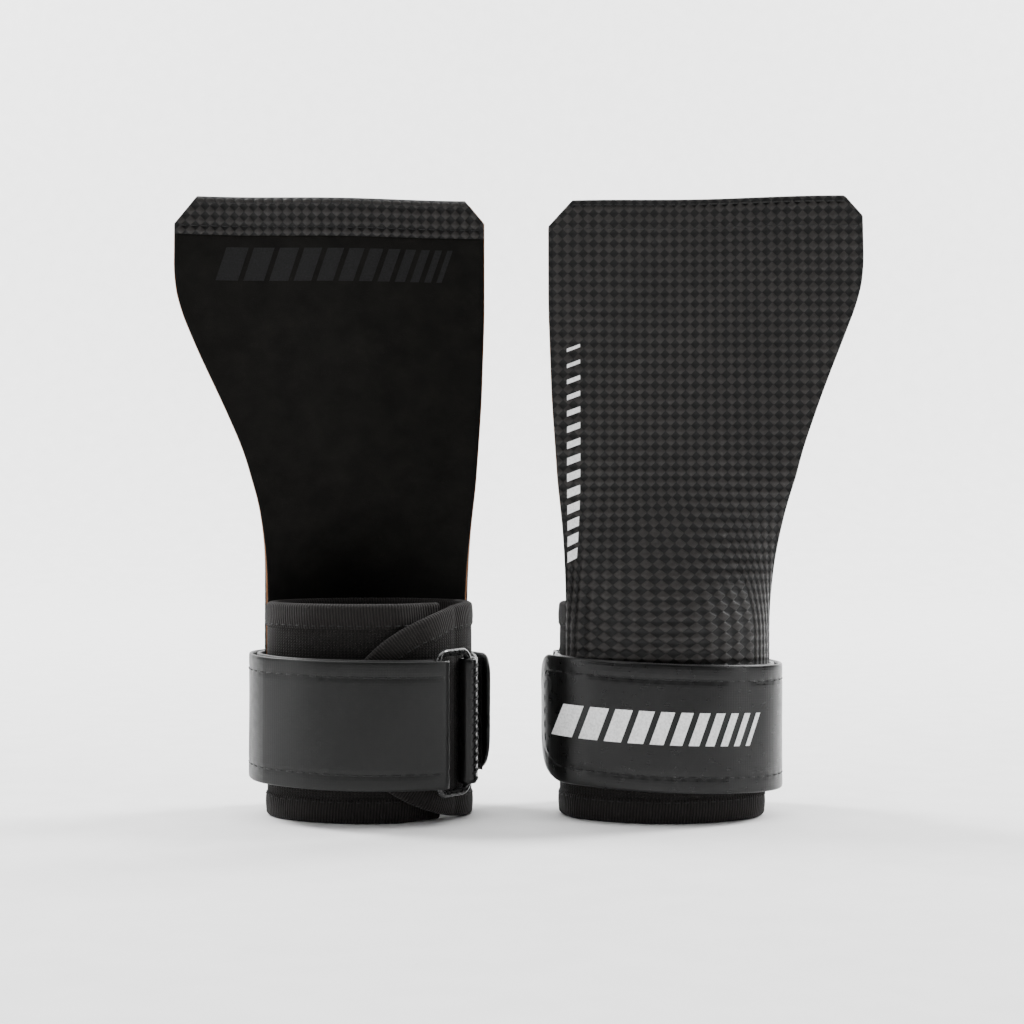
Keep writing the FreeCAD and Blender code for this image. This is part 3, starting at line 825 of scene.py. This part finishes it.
# ---- Hook and loop ----
# Loop tape sewn on the strap's inner run and hook tape on the underside of its free end, both narrower than
# the strap, where the two press together.
HOOK_AND_LOOP = (
    # Name, CAD node, body, ends, thickness, its middle's distance out.
    ("loop_pile", "loop_tape", "cuff", (64.0, -55.0), 0.5, lambda at: inner_run_out(at) + STRAP + 0.3),
    ("hook_pile", "hook_tape", "strap_end", (60.0, -70.0), 0.4, lambda at: outer_run_out(at) - 0.25),
)
pile = Finish("hook_and_loop", Roughness=0.85, Sheen_Weight=0.06, Sheen_Roughness=0.5,
              Specular_IOR_Level=0.15)
pile_place, pile_along, pile_height = pile.flat_place()
pile_rows = pile_along.wave(0.9) * pile_height.wave(0.9)
pile_fuzz = pile.noise(pile_place, 2.5, 5.0)
pile_tone = pile_rows * 0.3 + pile_fuzz
pile.feed("Base Color", pile.ramp(pile_tone, (0.3, (0.003, 0.003, 0.003)), (0.8, (0.022, 0.021, 0.02))))
pile.grain(pile_tone, 0.4)
for grip in GRIPS:
    for name, node, body, (start, end), thick, out in HOOK_AND_LOOP:
        line, normal = wall_line(start, end, out)
        low, high = strap_edges(grip, line)
        piece = tape(f"{grip}_{name}", grip, line, normal, low + 1.5, high - 1.5, thick, pile)
        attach(piece, f"{grip}_{body}")
        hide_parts(f"{grip}_{node}")


# ---- Ring ----
# A rectangular ring of bent wire, lacquered gloss black. Its outer bar sits in the keeper's fold, and the
# strap turns round its inner bar.
lacquer = Finish("ring_lacquer", Metallic=0.6, Coat_Weight=0.6, Coat_Roughness=0.12)
lacquer_place = lacquer.node("ShaderNodeTexCoord", {}, {}, "Object")
lacquer_wear = lacquer.noise(lacquer_place, 900.0, 4.0)
lacquer.feed("Base Color",
             lacquer.ramp(lacquer_wear, (0.35, (0.008, 0.008, 0.008)), (0.8, (0.05, 0.05, 0.05))))
lacquer.feed("Roughness", lacquer_wear * 0.2 + 0.18)
for grip in GRIPS:
    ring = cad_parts[f"{grip}_ring"]
    ring.data.materials.clear()
    ring.data.materials.append(lacquer.material)


# ---- Keeper ----
# A tab of strap tape folded round the ring's bar and sewn down behind it. Its fold is overlocked with thick
# thread, and two rows of stitches hold its legs.
OVERLOCK_PITCH = 2.6
KEEPER = 1.2                # the tab's thickness
KEEPER_LEGS = 24            # how far past the bar the legs run
LEG_CLOSING = 16            # how far past the bar they have come together


def keeper_out(at):
    """The outer leg's inside: over the bar, then down to the inner leg."""
    down = ease(at, KEEPER_BAR_AT, KEEPER_BAR_AT + LEG_CLOSING)
    return KEEPER_BAR_OUT + KEEPER_TURN - (2 * KEEPER_TURN - 0.05) * down


def under_leg(at):
    """The inner leg's middle line."""
    return np.full(at.shape, KEEPER_BAR_OUT - KEEPER_TURN - 0.6)


for grip in GRIPS:
    legs_end = KEEPER_BAR_AT + KEEPER_LEGS
    under, under_normal = wall_line(legs_end, KEEPER_BAR_AT, under_leg)
    fold_line, fold_normal = turn_line(KEEPER_BAR_AT, KEEPER_BAR_OUT, KEEPER_TURN + 0.6, -1)
    over, over_normal = wall_line(KEEPER_BAR_AT, legs_end - 1, lambda at: keeper_out(at) + 0.6)
    line = np.concatenate([under, fold_line, over])
    normal = np.concatenate([under_normal, fold_normal, -over_normal])
    low, high = strap_edges(grip, line)
    keeper = tape(f"{grip}_keeper_tab", grip, line, normal, low + 0.2, high - 0.2, KEEPER,
                  strap_coats["right"])
    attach(keeper, f"{grip}_cuff")
    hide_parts(f"{grip}_keeper")
    low, high = strap_edges(grip, over)
    strokes = []
    for rung in np.arange(low[0] + 1.5, high[0] - 1.5, OVERLOCK_PITCH):
        at = np.linspace(KEEPER_BAR_AT - 3, KEEPER_BAR_AT + 7, 7)
        plan = around(at, keeper_out(at) + 1.45 - 0.5 * np.linspace(-1, 1, 7) ** 4)
        slope = rung + np.linspace(-0.7, 0.9, 7)
        strokes.append((np.concatenate([plan, slope[:, None]], axis=1), np.pad(facing(at), ((0, 0), (0, 1)))))
    for at in (KEEPER_BAR_AT + 8.5, KEEPER_BAR_AT + 15):
        height = np.linspace(low[0] + 1, high[0] - 1, 40)
        row_plan = np.broadcast_to(around(at, keeper_out(at) + KEEPER), (40, 2))
        row = np.concatenate([row_plan, height[:, None]], axis=1)
        strokes += stitches(row, np.broadcast_to([*facing(at), 0.0], (40, 3)), 2.6, 1.9)
    keeper_seam = threads(f"{grip}_keeper_overlock", grip, strokes, thread, 0.36)
    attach(keeper_seam, f"{grip}_cuff")


# ---- Marks ----
# Plain slanted stripes that get thinner: printed in white on the strap and up the palm face, and pressed
# with black foil into the lining.
PRINT_ROWS = 15             # points along each side of a print


def slanted_stripes(start, widths, gap, low, high, slant):
    """Each stripe's four corners: lower near, lower far, upper far, upper near."""
    stripes = []
    for width in widths:
        lean = slant * (high - low)
        stripes.append(((start, low), (start + width, low),
                        (start + width + lean, high), (start + lean, high)))
        start += width + gap
    return stripes


def print_stripes(name, grip, stripes, onto, finish):
    """Thin prints on a surface. onto gives the points of the surface for places across and up."""
    side = np.linspace(0, 1, PRINT_ROWS)
    near_side, up_side = side[None, :, None], side[:, None, None]
    vertices, faces = [], []
    for stripe in stripes:
        a, b, c, d = np.array(stripe, float)
        lower, upper = a * (1 - near_side) + b * near_side, d * (1 - near_side) + c * near_side
        place = lower * (1 - up_side) + upper * up_side
        first = len(vertices)
        vertices += onto(place[..., 0], place[..., 1]).reshape(-1, 3).tolist()
        for row in range(PRINT_ROWS - 1):
            for column in range(PRINT_ROWS - 1):
                corner = first + row * PRINT_ROWS + column
                faces.append((corner, corner + 1, corner + PRINT_ROWS + 1, corner + PRINT_ROWS))
    return smooth_piece(name, grip, vertices, faces, finish)


white_print = Finish("white_print", Roughness=0.55, Specular_IOR_Level=0.4)
print_place = white_print.node("ShaderNodeTexCoord", {}, {}, "Object")
print_wear = white_print.noise(print_place, 1500.0, 4.0)
white_print.feed("Base Color",
                 white_print.ramp(print_wear, (0.3, (0.62, 0.62, 0.62)), (0.6, (0.86, 0.86, 0.86))))
black_foil = Finish("black_foil", Roughness=0.62, Specular_IOR_Level=0.16)
foil_place = black_foil.node("ShaderNodeTexCoord", {}, {}, "Object")
foil_wear = black_foil.noise(foil_place, 2000.0, 4.0)
black_foil.feed("Base Color",
                black_foil.ramp(foil_wear, (0.3, (0.004, 0.004, 0.004)), (0.7, (0.009, 0.009, 0.0095))))
for grip in GRIPS:
    end_at, end_line = strap_ends[grip]
    middle, rise = STRAP_LIE[grip]
    front = (end_at < 60) & (end_at > -80)

    def onto_strap(across, up):
        at = np.interp(across, end_line[front, 0][::-1], end_at[front][::-1])
        plan = around(at, outer_run_out(at) + STRAP + 0.16)
        return np.concatenate([plan, (middle + rise * across + up)[..., None]], axis=-1)

    def onto_face(across, up):
        relief = WEAVE_DEPTH * weave(across, up)
        return on_leaf(grip, across, up, FACE_SURFACE + relief + 0.07)[0]

    def onto_lining(across, up):
        return on_leaf(grip, -across, up, np.full(np.shape(up), -0.87))[0]

    strap_stripes = slanted_stripes(-36.0, np.linspace(6.2, 1.4, 11), 2.0, -5.2, 5.2, 0.35)
    strap_mark = print_stripes(f"{grip}_strap_stripes", grip, strap_stripes, onto_strap, white_print)
    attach(strap_mark, f"{grip}_strap_end")
    rungs = [((-31.8, low), (-27.6, low + 1.6), (-27.6, low + 1.6 + thick), (-31.8, low + thick))
             for low, thick in ((83 + 5.2 * step, 3.4 - 0.18 * step) for step in range(14))]
    face_mark = print_stripes(f"{grip}_face_stripes", grip, rungs, onto_face, white_print)
    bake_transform(face_mark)
    lining_stripes = slanted_stripes(-53.0, np.linspace(7.6, 1.8, 12), 1.8, 177.0, 188.0, 0.35)
    lining_mark = print_stripes(f"{grip}_lining_stripes", grip, lining_stripes, onto_lining, black_foil)
    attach(lining_mark, f"{grip}_leaf")
